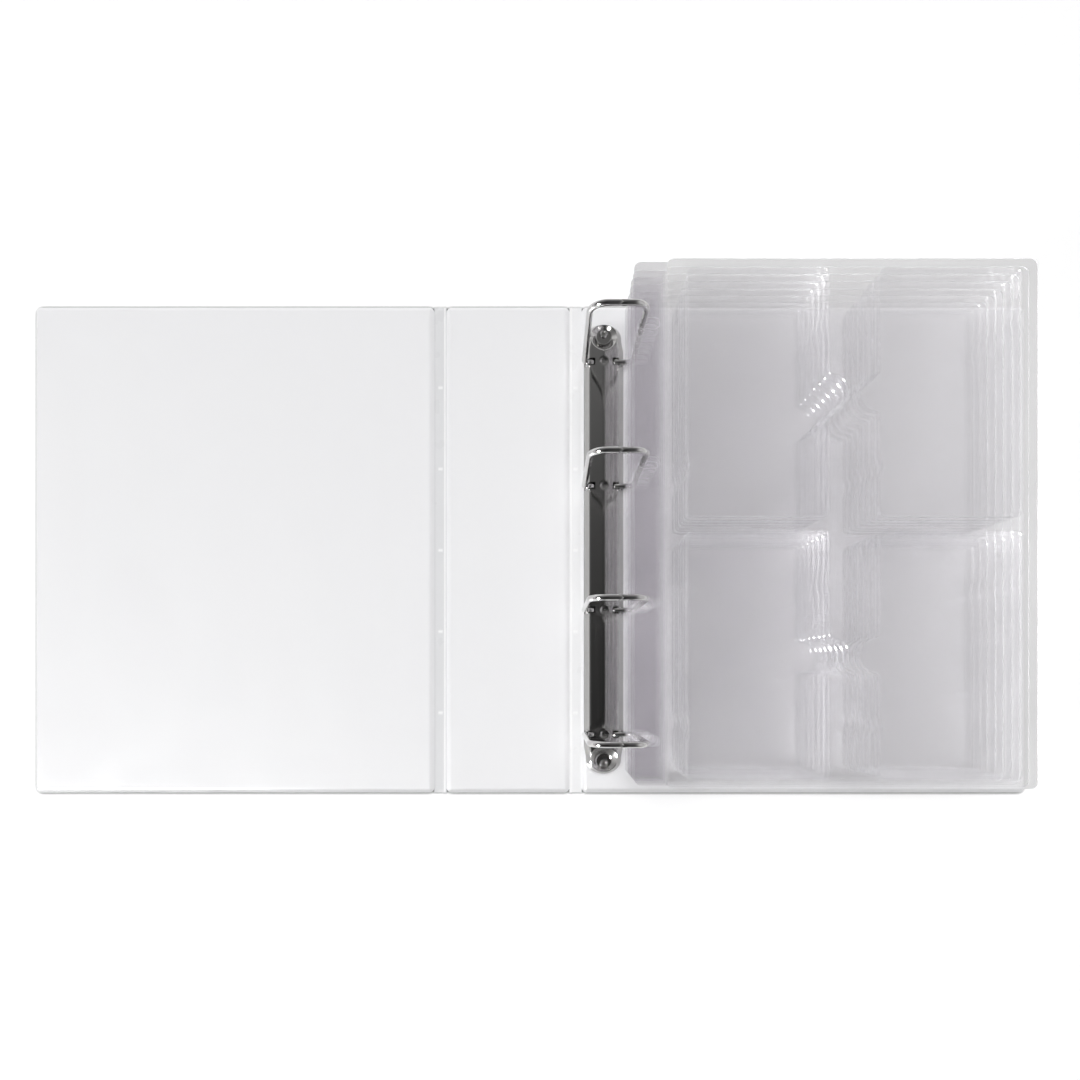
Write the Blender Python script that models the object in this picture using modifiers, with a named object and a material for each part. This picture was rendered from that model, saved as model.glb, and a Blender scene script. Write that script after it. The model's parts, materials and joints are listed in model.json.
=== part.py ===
"""Open ring album for graded card slabs.

The album lies open on its outer side. X runs across the open album, with the front cover at -X and the back cover
at +X, Y runs from tail to head and Z is up. The origin is under the middle of the open album. Sizes are in metres.
"""

import math

import bmesh
import bpy
import numpy as np
from mathutils import Matrix, Vector

# Covers
COVER_HEIGHT = 0.318
FRONT_WIDTH = 0.261
BACK_WIDTH = 0.290
HINGE_WIDTH = 0.008
SKIN_THICKNESS = 0.0004
BOARD_THICKNESS = 0.0020
LINING_THICKNESS = 0.0004
HINGE_THICKNESS = 0.0008
RIM_WIDTH = 0.0024
COVER_CORNER = 0.0034
HINGE_CORNER = 0.0015

# Fits
GAP = 0.0003
SLOT_CLEARANCE = 0.0005
CLOSED_CLEARANCE = 0.0053
SPINE_CLEARANCE = 0.0009

# Ring plate
PLATE_WIDTH = 0.0255
PLATE_THICKNESS = 0.0009
PLATE_RISE = 0.0061
PLATE_EDGE_POWER = 2.6
LOBE_RADIUS = 0.0090
LOBE_RISE = 0.0016
RIVET_SPACING = 0.2790
TAPER_LENGTH = 0.0155

# Rivets
RIVET_TUBE_RADIUS = 0.0020
RIVET_BORE_RADIUS = 0.00125
RIVET_HEAD_RADIUS = 0.0030
RIVET_TAIL_RADIUS = 0.0042
RIVET_FLANGE = 0.0005

# Blades and rings
BLADE_REACH = 0.0100
BLADE_THICKNESS = 0.0008
BLADE_TILT = math.radians(3.5)
RING_OPENING = math.radians(8.0)
RING_COUNT = 4
RING_PITCH = 0.0800
WIRE_RADIUS = 0.0018
LEFT_LEG = 0.0126
RIGHT_LEG = 0.0188
LEFT_TOP_RADIUS = 0.0070
RIGHT_TOP_RADIUS = 0.0060
LEFT_FOOT_RADIUS = 0.0035
RIGHT_FOOT_RADIUS = 0.0045
FOOT_TIP = 0.0064
RING_MEETING = 0.0025
RING_HEADROOM = 0.0200

# Pages
PAGE_COUNT = 7
SHEET_THICKNESS = 0.0005
POCKET_DEPTH = 0.00695
POCKET_WIDTH = 0.0830
POCKET_HEIGHT = 0.1448
POCKET_CORNER = 0.0040
CENTRE_WIDTH = 0.0278
ROW_GAP = 0.0064
LEFT_MARGIN = 0.0110
RIGHT_MARGIN = 0.0082
END_MARGIN = 0.0043
TRAY_CORNER = 0.0040
THUMB_RADIUS = 0.0115
BUMP_LENGTH = 0.0095
BUMP_REACH = 0.0025
BUMP_FROM_END = 0.0304
PAGE_SHIFT = 0.0048

# Binding strips
STRIP_EDGE = 0.0023
STRIP_WELD = 0.0037
STRIP_INSET = 0.0020
STRIP_CORNER = 0.0040
SLOT_WIDTH = 0.0065

# Heights, from the table up
BOARD_BASE = SKIN_THICKNESS + GAP
LINING_BASE = BOARD_BASE + BOARD_THICKNESS + GAP
COVER_TOP = LINING_BASE + LINING_THICKNESS
HINGE_BASE = GAP
HINGE_AXIS_Z = HINGE_BASE + HINGE_THICKNESS / 2
PLATE_BASE = COVER_TOP + GAP + PLATE_THICKNESS
PAGE_PITCH = POCKET_DEPTH + SHEET_THICKNESS + GAP
FIRST_FLANGE = COVER_TOP + GAP + POCKET_DEPTH + SHEET_THICKNESS
STACK_TOP = FIRST_FLANGE + PAGE_PITCH * (PAGE_COUNT - 1)
RING_BAR_Z = STACK_TOP + RING_HEADROOM + WIRE_RADIUS
RING_TOP = RING_BAR_Z + WIRE_RADIUS
BLADE_DROP = BLADE_REACH * math.sin(BLADE_TILT)
BLADE_AXIS_Z = COVER_TOP + GAP + BLADE_DROP + BLADE_THICKNESS
FOOT_Z = BLADE_AXIS_Z + BLADE_THICKNESS / 2 + GAP + WIRE_RADIUS

# Places across the open album
HINGE_PITCH = (RING_TOP - HINGE_AXIS_Z) + CLOSED_CLEARANCE + (COVER_TOP - HINGE_AXIS_Z)
SPINE_WIDTH = HINGE_PITCH - HINGE_WIDTH
OPEN_WIDTH = FRONT_WIDTH + SPINE_WIDTH + BACK_WIDTH + 2 * HINGE_WIDTH
FRONT_LEFT = -OPEN_WIDTH / 2
FRONT_HINGE_X = FRONT_LEFT + FRONT_WIDTH + HINGE_WIDTH / 2
BACK_HINGE_X = FRONT_HINGE_X + HINGE_PITCH
BACK_LEFT = BACK_HINGE_X + HINGE_WIDTH / 2
PLATE_X = BACK_HINGE_X + COVER_TOP - HINGE_AXIS_Z + SPINE_CLEARANCE + WIRE_RADIUS + LEFT_LEG
RIVET_YS = (RIVET_SPACING / 2, -RIVET_SPACING / 2)
BLADE_LENGTH = RIVET_SPACING - 2 * TAPER_LENGTH
RING_YS = [RING_PITCH * ((RING_COUNT - 1) / 2 - n) for n in range(RING_COUNT)]

# Places along the binding strips, measured from the plate's middle
RING_SWEEP = (STACK_TOP - BLADE_AXIS_Z) * math.sin(RING_OPENING)
SLOT_LEFT = RIGHT_LEG - WIRE_RADIUS - GAP - SLOT_CLEARANCE * 1.6
SLOT_RIGHT = RIGHT_LEG + WIRE_RADIUS + RING_SWEEP + SLOT_CLEARANCE
STRIP_LEFT = SLOT_LEFT - STRIP_EDGE
STRIP_RIGHT = SLOT_RIGHT + STRIP_WELD
TRAY_LEFT = STRIP_RIGHT + GAP
TRAY_WIDTH = LEFT_MARGIN + 2 * POCKET_WIDTH + CENTRE_WIDTH + RIGHT_MARGIN
TRAY_HEIGHT = 2 * POCKET_HEIGHT + ROW_GAP + 2 * END_MARGIN
CREASE_X = PLATE_X + STRIP_RIGHT + GAP / 2

# How finely the round shapes are cut
CORNER_STEPS = 3
HOLE_STEPS = 16
SLOT_STEPS = 4
BEND_STEPS = 5
THUMB_STEPS = 6
PLATE_ACROSS = 10
PLATE_ALONG = 28


def clear_scene():
    """Remove every object, so that the script can run again in the same file."""
    for thing in list(bpy.data.objects):
        bpy.data.objects.remove(thing, do_unlink=True)


def new_collection(name):
    """A collection of that name in the scene."""
    made = bpy.data.collections.get(name) or bpy.data.collections.new(name)
    if made.name not in bpy.context.scene.collection.children:
        bpy.context.scene.collection.children.link(made)
    return made


def make_material(name, colour, roughness, metallic=0.0, alpha=1.0):
    """A Principled material in one colour."""
    made = bpy.data.materials.new(name)
    made.use_nodes = True
    shader = made.node_tree.nodes["Principled BSDF"]
    shader.inputs["Base Color"].default_value = (*colour, 1.0)
    shader.inputs["Roughness"].default_value = roughness
    shader.inputs["Metallic"].default_value = metallic
    shader.inputs["Alpha"].default_value = alpha
    made.diffuse_color = (*colour, alpha)
    return made


clear_scene()
PARTS = new_collection("graded_card_album")
CUTTERS = new_collection("cutters")
VINYL = make_material("white_vinyl", (0.86, 0.86, 0.87), 0.35)
FILM = make_material("hinge_film", (0.82, 0.82, 0.84), 0.30)
GREYBOARD = make_material("greyboard", (0.45, 0.41, 0.35), 0.90)
NICKEL = make_material("nickel_plate", (0.66, 0.65, 0.63), 0.20, metallic=1.0)
CLEAR = make_material("clear_sheet", (0.80, 0.80, 0.82), 0.10, alpha=0.25)


def new_pivot(name, place):
    """An empty on a joint's axis, which carries the pieces that move with it."""
    made = bpy.data.objects.new(name, None)
    made.empty_display_size = 0.01
    made.location = place
    PARTS.objects.link(made)
    return made


def add_part(name, data, material, pivot):
    """Put a mesh made in world places into the album, carried by its pivot."""
    data.transform(Matrix.Translation(-pivot.location))
    data.materials.clear()
    data.materials.append(material)
    made = bpy.data.objects.new(name, data)
    made.parent = pivot
    PARTS.objects.link(made)
    return made


def mesh_of_curve(curve):
    """The closed mesh of a curve: its evaluated surface with the caps welded on."""
    holder = bpy.data.objects.new(curve.name, curve)
    PARTS.objects.link(holder)
    bpy.context.view_layer.update()
    evaluated = holder.evaluated_get(bpy.context.evaluated_depsgraph_get())
    made = bpy.data.meshes.new_from_object(evaluated)
    bpy.data.objects.remove(holder, do_unlink=True)
    work = bmesh.new()
    work.from_mesh(made)
    bmesh.ops.remove_doubles(work, verts=work.verts, dist=1e-6)
    bmesh.ops.recalc_face_normals(work, faces=work.faces)
    work.to_mesh(made)
    work.free()
    return made


def arc(centre, radius, start, end, steps):
    """Points on a circle from one angle in degrees to another."""
    angles = np.radians(np.linspace(start, end, steps + 1))
    return np.column_stack((centre[0] + radius * np.cos(angles), centre[1] + radius * np.sin(angles)))


def rounded_outline(left, right, low, high, radii):
    """A rectangle with rounded corners, from the lower left round to the right: radii in that order."""
    spots = ((left, low, 1, 1, 180), (right, low, -1, 1, 270), (right, high, -1, -1, 0), (left, high, 1, -1, 90))
    corners = []
    for (x, y, inward_x, inward_y, start), radius in zip(spots, radii):
        centre = (x + inward_x * radius, y + inward_y * radius)
        corners.append(arc(centre, radius, start, start + 90, CORNER_STEPS))
    return np.vstack(corners)


def flat_sheet(name, loops, base, thickness):
    """A flat sheet cut to an outline, with holes where further loops lie inside the first."""
    curve = bpy.data.curves.new(name, "CURVE")
    curve.dimensions = "2D"
    curve.fill_mode = "BOTH"
    curve.extrude = thickness / 2
    for loop in loops:
        spline = curve.splines.new("POLY")
        spline.points.add(len(loop) - 1)
        flat = np.zeros((len(loop), 4))
        flat[:, :2] = loop
        flat[:, 3] = 1.0
        spline.points.foreach_set("co", flat.ravel())
        spline.use_cyclic_u = True
    made = mesh_of_curve(curve)
    made.transform(Matrix.Translation((0, 0, base + thickness / 2)))
    return made


def circle_loop(x, y, radius):
    """A round hole's outline."""
    return arc((x, y), radius, 0, 360, HOLE_STEPS)[:-1]


def panel_outline(left, right, inset=0.0):
    """A cover panel's outline, drawn in by an inset."""
    half = COVER_HEIGHT / 2 - inset
    radius = COVER_CORNER - min(inset, COVER_CORNER * 0.8)
    return rounded_outline(left + inset, right - inset, -half, half, [radius] * 4)


def lining_mesh(name, left, right):
    """The inner vinyl: a flat top with a sloped rim that comes down to the outer skin, open below."""
    rim_z = BOARD_BASE + LINING_THICKNESS
    work = bmesh.new()
    outline = [work.verts.new((x, y, rim_z)) for x, y in panel_outline(left, right)]
    top = work.faces.new(outline)
    rise = COVER_TOP - rim_z
    bmesh.ops.inset_region(work, faces=[top], thickness=RIM_WIDTH, use_boundary=True, use_even_offset=True)
    bmesh.ops.translate(work, verts=top.verts, vec=(0, 0, rise))
    made = bpy.data.meshes.new(name)
    work.to_mesh(made)
    work.free()
    return made


def solidify(thing, thickness):
    """Give an open surface its thickness, on the side its faces turn away from."""
    wall = thing.modifiers.new("wall", "SOLIDIFY")
    wall.thickness = thickness
    wall.offset = -1.0
    wall.use_even_offset = True


def cut(thing, cutter):
    """Cut one mesh out of another."""
    taken = thing.modifiers.new("cut " + cutter.name, "BOOLEAN")
    taken.operation = "DIFFERENCE"
    taken.object = cutter


def add_cutter(name, data):
    """A cutting shape, kept out of the album itself."""
    made = bpy.data.objects.new(name, data)
    made.hide_render = True
    made.display_type = "WIRE"
    CUTTERS.objects.link(made)
    return made


def round_cutter(name, x, y, radius, low, high):
    """A cylinder along Z that drills a round hole."""
    work = bmesh.new()
    bmesh.ops.create_cone(
        work, cap_ends=True, segments=HOLE_STEPS, radius1=radius, radius2=radius, depth=high - low
    )
    bmesh.ops.translate(work, verts=work.verts, vec=(x, y, (low + high) / 2))
    made = bpy.data.meshes.new(name)
    work.to_mesh(made)
    work.free()
    return add_cutter(name, made)


def box_mesh(name, low, high):
    """A box between two corners."""
    work = bmesh.new()
    bmesh.ops.create_cube(work, size=1.0)
    size = Vector(high) - Vector(low)
    bmesh.ops.scale(work, verts=work.verts, vec=size)
    bmesh.ops.translate(work, verts=work.verts, vec=(Vector(low) + Vector(high)) / 2)
    made = bpy.data.meshes.new(name)
    work.to_mesh(made)
    work.free()
    return made


# Joint axes
back_pivot = new_pivot("back_cover_frame", (0, 0, 0))
spine_pivot = new_pivot("back_hinge_axis", (BACK_HINGE_X, 0, HINGE_AXIS_Z))
front_pivot = new_pivot("front_hinge_axis", (FRONT_HINGE_X, 0, HINGE_AXIS_Z))
left_pivot = new_pivot("left_blade_axis", (PLATE_X - BLADE_REACH, 0, BLADE_AXIS_Z))
right_pivot = new_pivot("right_blade_axis", (PLATE_X + BLADE_REACH, 0, BLADE_AXIS_Z))

# Covers: outer skin, board and lining for each panel
RIVET_HOLES = [(PLATE_X, y) for y in RIVET_YS]
PANELS = (
    ("front", FRONT_LEFT, FRONT_WIDTH, front_pivot, []),
    ("spine", FRONT_HINGE_X + HINGE_WIDTH / 2, SPINE_WIDTH, spine_pivot, []),
    ("back", BACK_LEFT, BACK_WIDTH, back_pivot, RIVET_HOLES),
)
for panel, left, width, pivot, holes in PANELS:
    right = left + width
    skin_holes = [circle_loop(x, y, RIVET_TAIL_RADIUS + GAP) for x, y in holes]
    board_holes = [circle_loop(x, y, RIVET_TUBE_RADIUS + GAP) for x, y in holes]
    skin = flat_sheet(panel + "_outer_skin", [panel_outline(left, right)] + skin_holes, 0.0, SKIN_THICKNESS)
    add_part(panel + "_outer_skin", skin, VINYL, pivot)
    board_outline = panel_outline(left, right, RIM_WIDTH + LINING_THICKNESS + GAP)
    board = flat_sheet(panel + "_board", [board_outline] + board_holes, BOARD_BASE, BOARD_THICKNESS)
    add_part(panel + "_board", board, GREYBOARD, pivot)
    lining = add_part(panel + "_lining", lining_mesh(panel + "_lining", left, right), VINYL, pivot)
    solidify(lining, LINING_THICKNESS)
    for x, y in holes:
        name = "lining_hole_head" if y > 0 else "lining_hole_tail"
        cut(lining, round_cutter(name, x, y, RIVET_TUBE_RADIUS + GAP, BOARD_BASE, PLATE_BASE))

# Hinges: the welded film between the panels
HINGES = (("front_hinge", FRONT_HINGE_X, spine_pivot), ("back_hinge", BACK_HINGE_X, back_pivot))
for name, x, pivot in HINGES:
    half = HINGE_WIDTH / 2 - GAP
    outline = rounded_outline(x - half, x + half, -COVER_HEIGHT / 2, COVER_HEIGHT / 2, [HINGE_CORNER] * 4)
    add_part(name, flat_sheet(name, [outline], HINGE_BASE, HINGE_THICKNESS), FILM, pivot)


def smooth_step(value, low, high):
    """0 below low, 1 above high, and an even curve between."""
    share = np.clip((value - low) / (high - low), 0.0, 1.0)
    return share * share * (3.0 - 2.0 * share)


def plate_mesh():
    """The arched plate: an arch across, tapering to a flatter round lobe at each rivet."""
    work = bmesh.new()
    bmesh.ops.create_grid(work, x_segments=PLATE_ACROSS, y_segments=PLATE_ALONG, size=1.0)
    made = bpy.data.meshes.new("ring_plate")
    work.to_mesh(made)
    work.free()
    flat = np.empty(len(made.vertices) * 3)
    made.vertices.foreach_get("co", flat)
    across, along = flat.reshape(-1, 3)[:, 0], flat.reshape(-1, 3)[:, 1]
    lobe_y = RIVET_SPACING / 2
    y = (lobe_y + LOBE_RADIUS) * np.sin(along * math.pi / 2)
    taper_y = lobe_y - TAPER_LENGTH
    half = PLATE_WIDTH / 2 - (PLATE_WIDTH / 2 - LOBE_RADIUS) * smooth_step(np.abs(y), taper_y, lobe_y)
    past = np.clip(np.abs(y) - lobe_y, 0.0, LOBE_RADIUS * 0.985)
    half = np.where(past > 0.0, np.sqrt(LOBE_RADIUS**2 - past**2), half)
    rise = PLATE_RISE - (PLATE_RISE - LOBE_RISE) * smooth_step(np.abs(y), taper_y, lobe_y - LOBE_RADIUS * 0.6)
    z = PLATE_BASE + rise * (1.0 - np.abs(across) ** PLATE_EDGE_POWER)
    made.vertices.foreach_set("co", np.column_stack((PLATE_X + across * half, y, z)).ravel())
    made.update()
    return made


# Ring plate with its rivet holes and the slots that the ring feet pass through
plate = add_part("ring_plate", plate_mesh(), NICKEL, back_pivot)
solidify(plate, PLATE_THICKNESS)
PLATE_TOP = PLATE_BASE + PLATE_RISE
for name, y in zip(("head", "tail"), RIVET_YS):
    hole = round_cutter("plate_hole_" + name, PLATE_X, y, RIVET_TUBE_RADIUS + GAP, COVER_TOP, PLATE_TOP)
    cut(plate, hole)
SLOT_INNER = FOOT_TIP - SLOT_CLEARANCE - GAP
SLOT_OUTER = PLATE_WIDTH / 2 - PLATE_THICKNESS
SLOT_HALF = WIRE_RADIUS + SLOT_CLEARANCE
for side in (-1, 1):
    ends = sorted((PLATE_X + side * SLOT_INNER, PLATE_X + side * SLOT_OUTER))
    for number, y in enumerate(RING_YS, 1):
        name = ("left" if side < 0 else "right") + "_foot_slot_" + str(number)
        low = (ends[0], y - SLOT_HALF, COVER_TOP)
        high = (ends[1], y + SLOT_HALF, PLATE_TOP + PLATE_THICKNESS)
        cut(plate, add_cutter(name, box_mesh(name, low, high)))


def rivet_mesh(name, y):
    """A hollow eyelet: a tube with a flange over the plate and a wider one under the cover."""
    head = PLATE_BASE + LOBE_RISE + GAP
    profile = (
        (RIVET_BORE_RADIUS, head + RIVET_FLANGE),
        (RIVET_HEAD_RADIUS, head + RIVET_FLANGE),
        (RIVET_HEAD_RADIUS, head),
        (RIVET_TUBE_RADIUS, head),
        (RIVET_TUBE_RADIUS, SKIN_THICKNESS),
        (RIVET_TAIL_RADIUS, SKIN_THICKNESS),
        (RIVET_TAIL_RADIUS, 0.0),
        (RIVET_BORE_RADIUS, 0.0),
    )
    work = bmesh.new()
    points = [work.verts.new((x, 0, z)) for x, z in profile]
    edges = [work.edges.new((a, b)) for a, b in zip(points, points[1:] + points[:1])]
    bmesh.ops.spin(
        work,
        geom=points + edges,
        cent=(0, 0, 0),
        axis=(0, 0, 1),
        angle=2 * math.pi,
        steps=HOLE_STEPS,
        use_merge=True,
    )
    bmesh.ops.remove_doubles(work, verts=work.verts, dist=1e-6)
    bmesh.ops.recalc_face_normals(work, faces=work.faces)
    bmesh.ops.translate(work, verts=work.verts, vec=(PLATE_X, y, 0))
    made = bpy.data.meshes.new(name)
    work.to_mesh(made)
    work.free()
    return made


# Rivets
for name, y in zip(("head_rivet", "tail_rivet"), RIVET_YS):
    add_part(name, rivet_mesh(name, y), NICKEL, back_pivot)


def blade_mesh(name, side):
    """A toggle blade: a flat strip from its pivot edge to the middle, tilted down while the rings are shut."""
    half = BLADE_THICKNESS / 2
    made = box_mesh(name, (0, -BLADE_LENGTH / 2, -half), (BLADE_REACH - GAP, BLADE_LENGTH / 2, half))
    made.transform(Matrix.Rotation(BLADE_TILT, 4, "Y"))
    if side > 0:
        made.transform(Matrix.Rotation(math.pi, 4, "Z"))
    made.transform(Matrix.Translation((PLATE_X + side * BLADE_REACH, 0, BLADE_AXIS_Z)))
    return made


def half_ring_path(side):
    """The wire's middle line from its foot in the plate, up the leg and along the top, in X and Z."""
    leg, foot, top = (
        (LEFT_LEG, LEFT_FOOT_RADIUS, LEFT_TOP_RADIUS) if side < 0 else (RIGHT_LEG, RIGHT_FOOT_RADIUS, RIGHT_TOP_RADIUS)
    )
    start = np.array([[FOOT_TIP, FOOT_Z]])
    lower = arc((leg - foot, FOOT_Z + foot), foot, -90, 0, BEND_STEPS)
    upper = arc((leg - top, RING_BAR_Z - top), top, 0, 90, BEND_STEPS)
    meeting = side * RING_MEETING + GAP / 2
    end = np.array([[meeting, RING_BAR_Z]])
    return np.vstack((start, lower, upper, end)) * (side, 1.0)


def half_ring_mesh(name, side, y):
    """Round wire along the half ring's middle line."""
    curve = bpy.data.curves.new(name, "CURVE")
    curve.dimensions = "3D"
    curve.bevel_depth = WIRE_RADIUS
    curve.bevel_resolution = 2
    curve.use_fill_caps = True
    path = half_ring_path(side)
    spline = curve.splines.new("POLY")
    spline.points.add(len(path) - 1)
    places = np.ones((len(path), 4))
    places[:, 0] = PLATE_X + path[:, 0]
    places[:, 1] = y
    places[:, 2] = path[:, 1]
    spline.points.foreach_set("co", places.ravel())
    return mesh_of_curve(curve)


# Blades and half rings
for side, word, pivot in ((-1, "left", left_pivot), (1, "right", right_pivot)):
    add_part(word + "_blade", blade_mesh(word + "_blade", side), NICKEL, pivot)
    for number, y in enumerate(RING_YS, 1):
        name = word + "_half_ring_" + str(number)
        add_part(name, half_ring_mesh(name, side, y), NICKEL, pivot)


def edge_with_features(features, side):
    """Points along a pocket's long side, going up the right side or down the left one.

    A thumb recess is a half circle outwards and a bump is a low ridge inwards, each at its height.
    """
    runs = []
    for kind, height in sorted(features, key=lambda feature: side * feature[1]):
        if kind == "thumb":
            turn = arc((0, 0), THUMB_RADIUS, -90, 90, THUMB_STEPS)
            runs.append(np.column_stack((turn[:, 0], height + side * turn[:, 1])))
        else:
            half, flat = BUMP_LENGTH / 2, BUMP_LENGTH / 2 - BUMP_REACH
            ridge = ((0, -half), (-BUMP_REACH, -flat), (-BUMP_REACH, flat), (0, half))
            runs.append(np.array([(out, height + side * along) for out, along in ridge]))
    points = np.vstack(runs)
    return points * (side, 1.0)


def pocket_outline(left, low, thumb_side):
    """A slab pocket seen from above, with its thumb recess beside the middle of the page."""
    right, high = left + POCKET_WIDTH, low + POCKET_HEIGHT
    middle = (low + high) / 2
    corners = rounded_outline(left, right, low, high, [POCKET_CORNER] * 4).reshape(4, CORNER_STEPS + 1, 2)
    right_side = [("bump", high - BUMP_FROM_END)]
    left_side = [("bump", low + BUMP_FROM_END)]
    (right_side if thumb_side > 0 else left_side).append(("thumb", middle))
    going_up = edge_with_features(right_side, 1) + (right, 0)
    going_down = edge_with_features(left_side, -1) + (left, 0)
    return np.vstack((corners[0], corners[1], going_up, corners[2], corners[3], going_down))


def tray_mesh():
    """One page: a flange with four pockets pressed down out of it, as the open upper surface of the sheet."""
    tray_low = PAGE_SHIFT - TRAY_HEIGHT / 2
    left = PLATE_X + TRAY_LEFT
    outline = rounded_outline(left, left + TRAY_WIDTH, tray_low, tray_low + TRAY_HEIGHT, [TRAY_CORNER] * 4)
    columns = ((left + LEFT_MARGIN, 1), (left + LEFT_MARGIN + POCKET_WIDTH + CENTRE_WIDTH, -1))
    rows = (tray_low + END_MARGIN, tray_low + END_MARGIN + POCKET_HEIGHT + ROW_GAP)
    pockets = [pocket_outline(x, y, thumb_side) for x, thumb_side in columns for y in rows]
    work = bmesh.new()

    def loop_edges(points):
        spots = [work.verts.new((x, y, 0)) for x, y in points]
        return [work.edges.new((a, b)) for a, b in zip(spots, spots[1:] + spots[:1])]

    rim = loop_edges(outline)
    mouths = [loop_edges(points) for points in pockets]
    bmesh.ops.triangle_fill(
        work, use_beauty=True, edges=rim + [edge for mouth in mouths for edge in mouth], normal=(0, 0, 1)
    )
    for mouth in mouths:
        walls = bmesh.ops.extrude_edge_only(work, edges=mouth)["geom"]
        floor_edges = [item for item in walls if isinstance(item, bmesh.types.BMEdge)]
        floor_spots = [item for item in walls if isinstance(item, bmesh.types.BMVert)]
        bmesh.ops.translate(work, verts=floor_spots, vec=(0, 0, -POCKET_DEPTH))
        bmesh.ops.edgeloop_fill(work, edges=floor_edges)
    bmesh.ops.recalc_face_normals(work, faces=work.faces)
    highest = max(work.faces, key=lambda face: face.calc_center_median().z)
    if highest.normal.z < 0:
        bmesh.ops.reverse_faces(work, faces=work.faces)
    made = bpy.data.meshes.new("page_tray")
    work.to_mesh(made)
    work.free()
    return made


def strip_mesh():
    """The binding strip beside a page's crease, with a long slot for each ring."""
    low = PAGE_SHIFT - TRAY_HEIGHT / 2 + STRIP_INSET
    high = PAGE_SHIFT + TRAY_HEIGHT / 2 - STRIP_INSET
    square = GAP
    radii = [STRIP_CORNER, square, square, STRIP_CORNER]
    outline = rounded_outline(PLATE_X + STRIP_LEFT, PLATE_X + STRIP_RIGHT, low, high, radii)
    radius = SLOT_WIDTH / 2
    first, last = PLATE_X + SLOT_LEFT + radius, PLATE_X + SLOT_RIGHT - radius
    slots = []
    for y in RING_YS:
        right_end = arc((last, y), radius, -90, 90, SLOT_STEPS)
        left_end = arc((first, y), radius, 90, 270, SLOT_STEPS)
        slots.append(np.vstack((right_end, left_end)))
    return flat_sheet("binding_strip", [outline] + slots, -SHEET_THICKNESS, SHEET_THICKNESS)


# Pages, numbered from the top of the stack
tray_pattern = tray_mesh()
strip_pattern = strip_mesh()
for number in range(1, PAGE_COUNT + 1):
    flange_z = STACK_TOP - PAGE_PITCH * (number - 1)
    pivot = new_pivot("crease_" + str(number), (CREASE_X, 0, flange_z))
    level = Matrix.Translation((0, 0, flange_z))
    tray_data = tray_pattern.copy()
    tray_data.transform(level)
    solidify(add_part("page_tray_" + str(number), tray_data, CLEAR, pivot), SHEET_THICKNESS)
    strip_data = strip_pattern.copy()
    strip_data.transform(level)
    add_part("binding_strip_" + str(number), strip_data, CLEAR, pivot)
for pattern in (tray_pattern, strip_pattern):
    bpy.data.meshes.remove(pattern)
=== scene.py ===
# %% [markdown]
# # An open album for graded cards
# The album lies open on a pale table: white welded vinyl covers, a nickel ring mechanism on the back cover and seven
# clear pages with four slab pockets each. The imported model is loaded first as a fixed frame. It could be dressed by
# eye, but every size below is read from that frame or repeated from it in metres, so each new piece lands where the
# part is, and the linings, plate, eyelets and ring wires are attached to the body they move with.

import json
import math

import bmesh
import bpy
import numpy as np
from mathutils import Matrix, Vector
from mathutils.geometry import delaunay_2d_cdt


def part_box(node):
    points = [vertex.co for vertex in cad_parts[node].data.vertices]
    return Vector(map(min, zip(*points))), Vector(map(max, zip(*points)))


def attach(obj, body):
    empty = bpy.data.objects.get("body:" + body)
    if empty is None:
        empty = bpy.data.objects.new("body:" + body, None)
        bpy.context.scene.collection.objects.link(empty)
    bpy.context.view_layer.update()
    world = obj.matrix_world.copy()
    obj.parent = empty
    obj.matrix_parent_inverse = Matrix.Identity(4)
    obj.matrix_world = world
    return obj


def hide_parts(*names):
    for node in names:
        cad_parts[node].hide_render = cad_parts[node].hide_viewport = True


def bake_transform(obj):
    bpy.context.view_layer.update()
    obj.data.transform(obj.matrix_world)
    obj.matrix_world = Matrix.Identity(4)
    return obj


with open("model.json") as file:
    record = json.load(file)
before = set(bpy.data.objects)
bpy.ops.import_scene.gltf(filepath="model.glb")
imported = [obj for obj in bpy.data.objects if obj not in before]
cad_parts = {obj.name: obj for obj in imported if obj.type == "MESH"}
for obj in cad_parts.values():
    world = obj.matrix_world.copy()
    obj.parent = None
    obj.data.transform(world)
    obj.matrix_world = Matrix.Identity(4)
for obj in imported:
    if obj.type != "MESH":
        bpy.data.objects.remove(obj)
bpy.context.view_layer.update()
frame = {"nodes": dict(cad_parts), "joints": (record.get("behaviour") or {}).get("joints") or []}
MM = 0.001

# %% [markdown]
# ## Places that the pieces share
# The joints say where the covers fold and where a page creases, and the boxes of the nodes give the plate's middle,
# the wire's radius and the places of the rings. They could be typed in as numbers, but measuring them here keeps the
# dressed album on the frame if the part changes.

# %% Measure the frame
JOINT_AT = {joint["name"]: joint.get("pos_m") for joint in frame["joints"]}
FRONT_FOLD_X = JOINT_AT["front_cover_fold"][0]
BACK_FOLD_X = JOINT_AT["spine_fold"][0]
plate_low, plate_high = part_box("ring_plate")
PLATE_X = (plate_low.x + plate_high.x) / 2
RIVET_Y = (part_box("head_rivet")[0].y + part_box("head_rivet")[1].y) / 2
ring_low, ring_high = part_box("left_half_ring_1")
WIRE = (ring_high.y - ring_low.y) / 2
RING_YS = [sum(c.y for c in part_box("left_half_ring_" + str(n))) / 2 for n in (1, 2, 3, 4)]
CREASE_X = JOINT_AT["page_1_lift"][0]
print("plate x", round(PLATE_X, 5), "wire", round(WIRE, 5), "rings", [round(y, 4) for y in RING_YS])

# %% [markdown]
# ## Grids into meshes
# Every new piece is a grid of points worked out as whole arrays. Neighbouring rows and columns make the faces, and
# a wall is given to thin sheets afterwards with Solidify. The modifier's result is kept as the mesh, because a sheet
# that bends across a joint needs its final points.

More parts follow.
